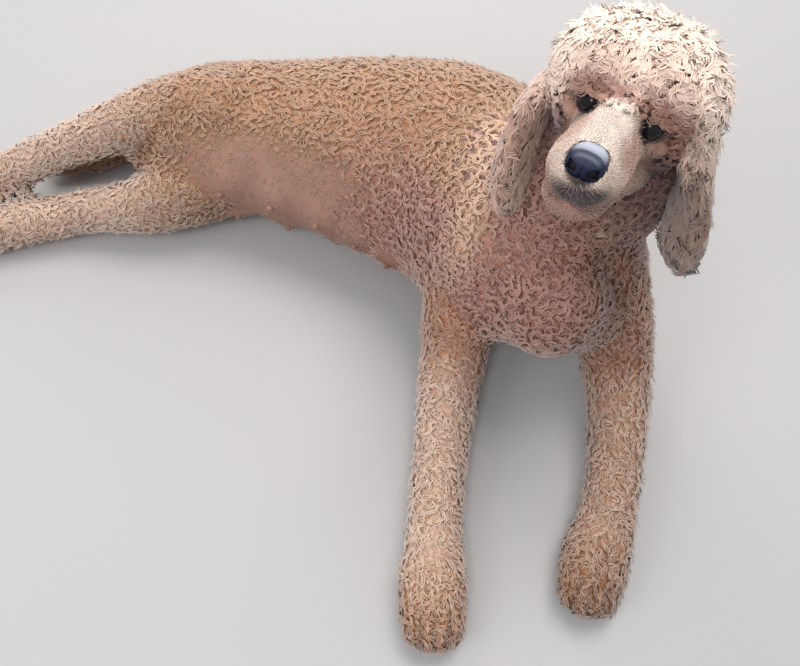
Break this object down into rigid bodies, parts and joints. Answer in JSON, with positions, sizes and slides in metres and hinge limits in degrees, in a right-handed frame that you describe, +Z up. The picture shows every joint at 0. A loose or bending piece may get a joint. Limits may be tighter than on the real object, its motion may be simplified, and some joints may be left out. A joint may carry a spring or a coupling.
{
  "type": "standard poodle model",
  "caption": "Life-size still model of a lying standard poodle in curly coat, forelegs stretched out, hind legs trailing and head raised.",
  "frame": {"origin": "middle of the bounding box, on the floor that the dog lies on", "axes": "+Z up, +X from the hind feet to the head's end of the trunk, -Y the way the forelegs stretch"},
  "size_m": [1.1668, 0.7972, 0.5092],
  "materials": {
    "coat": "soft curly apricot coat",
    "ear_coat": "wavy apricot coat of the ears",
    "nose_leather": "pebbled dark nose leather, moist",
    "eye": "polished dark eye"
  },
  "bodies": {
    "root": {"torso": "coat", "neck": "coat", "head": "coat", "ear_right": "ear_coat", "ear_left": "ear_coat", "nose": "nose_leather", "eye_right": "eye", "eye_left": "eye", "foreleg_right": "coat", "foreleg_left": "coat", "hindleg_right": "coat", "hindleg_left": "coat", "tail": "coat"}
  },
  "joints": []
}
